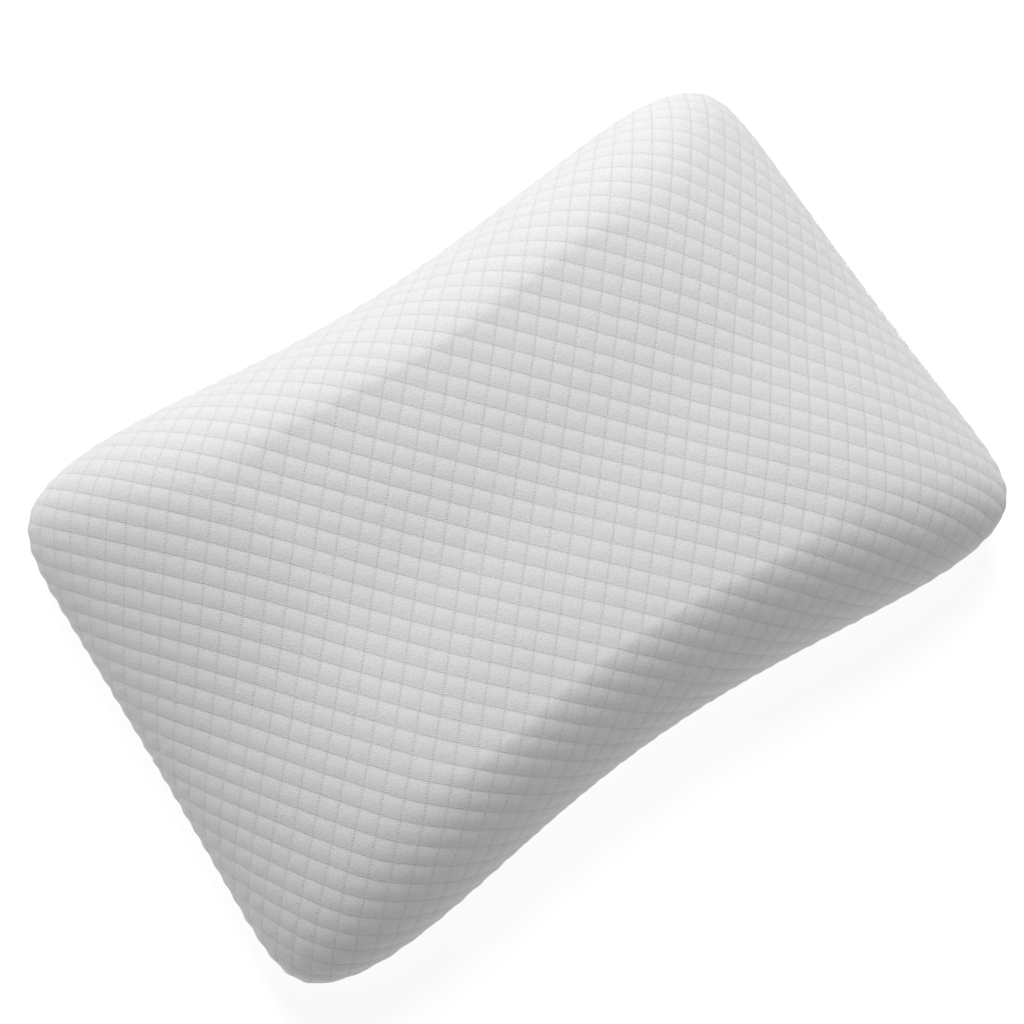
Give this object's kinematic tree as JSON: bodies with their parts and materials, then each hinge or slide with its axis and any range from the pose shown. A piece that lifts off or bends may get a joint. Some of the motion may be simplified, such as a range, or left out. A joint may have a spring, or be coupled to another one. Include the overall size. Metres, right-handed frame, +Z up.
{
  "type": "bed pillow",
  "caption": "Contour foam bed pillow with a drawn-in waist, a quilted knit cover and a zip on one short end.",
  "frame": {"origin": "centre of the base, on the surface that the pillow lies on", "axes": "+X along the pillow to the zipped end, +Y to the back edge with the lower lobe, +Z up"},
  "size_m": [0.4997, 0.32, 0.1133],
  "materials": {
    "foam": "soft open-cell foam",
    "liner_knit": "fine plain knit",
    "quilted_knit": "quilted jacquard knit, matt, slightly fuzzy",
    "base_knit": "plain knit, matt",
    "label_ribbon": "satin ribbon, blank",
    "zip_tape": "woven tape",
    "zip_coil": "smooth nylon",
    "zip_enamel": "white enamel on a die-cast body"
  },
  "bodies": {
    "pillow": {"foam_core": "foam", "inner_liner": "liner_knit", "top_cover": "quilted_knit", "bottom_cover": "base_knit", "seam_allowance": "base_knit", "care_label": "label_ribbon", "zip_tape_upper": "zip_tape", "zip_tape_lower": "zip_tape", "zip_coil_upper": "zip_coil", "zip_coil_lower": "zip_coil", "zip_top_stop_upper": "zip_coil", "zip_top_stop_lower": "zip_coil", "zip_bottom_stop": "zip_coil"},
    "slider": {"zip_slider": "zip_enamel"},
    "pull": {"zip_pull": "zip_enamel"}
  },
  "joints": [
    {"name": "zip_slide", "type": "slide", "parent": "pillow", "child": "slider", "axis": [0.0437, -0.999, 0], "range_m": [0, 0.184]},
    {"name": "pull_turn", "type": "hinge", "parent": "slider", "child": "pull", "pos_m": [0.23853, 0.09193, 0.03], "axis": [0, 0, 1], "range_deg": [0, 180]}
  ]
}
